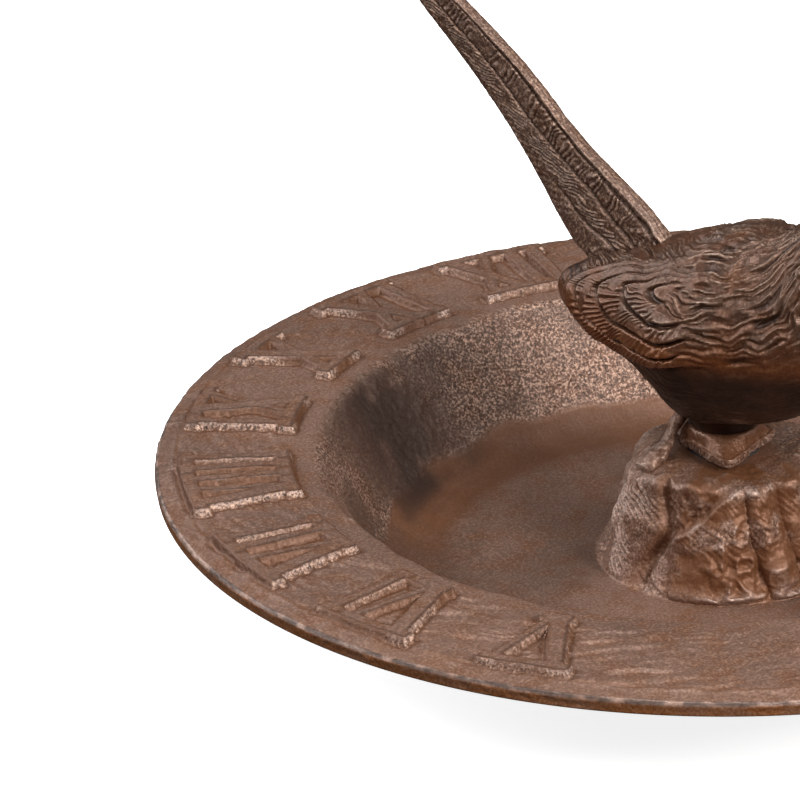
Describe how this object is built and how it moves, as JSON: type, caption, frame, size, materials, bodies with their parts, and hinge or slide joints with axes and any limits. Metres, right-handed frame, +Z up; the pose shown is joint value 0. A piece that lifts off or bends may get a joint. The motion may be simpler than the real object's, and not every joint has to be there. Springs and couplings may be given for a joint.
{
  "type": "garden sundial",
  "caption": "Round cast-iron garden sundial and bird bath: raised Roman numerals on a wide rim, deep bowl, stump mound, and a bird whose cocked tail is the gnomon.",
  "frame": {"origin": "centre of the foot ring's rest face, on the dial's axis", "axes": "+Z up, +Y from the dial's axis to the XII mark"},
  "size_m": [0.3, 0.3, 0.166],
  "materials": {
    "basin_iron": "antique brown finish over rough casting",
    "plate_iron": "antique brown finish, rough edge",
    "bird_iron": "antique brown finish, worn high points",
    "tail_iron": "antique brown finish, worn high points",
    "pin_steel": "browned steel",
    "bolt_steel": "zinc plated",
    "washer_steel": "zinc plated",
    "seal_rubber": "matt black"
  },
  "bodies": {
    "root": {"dial_basin": "basin_iron", "perch_plate": "plate_iron", "bird_body": "bird_iron", "tail_gnomon": "tail_iron", "tail_pin": "pin_steel", "centre_bolt": "bolt_steel", "spring_washer": "washer_steel", "plain_washer": "washer_steel", "sealing_washer": "seal_rubber"}
  },
  "joints": []
}
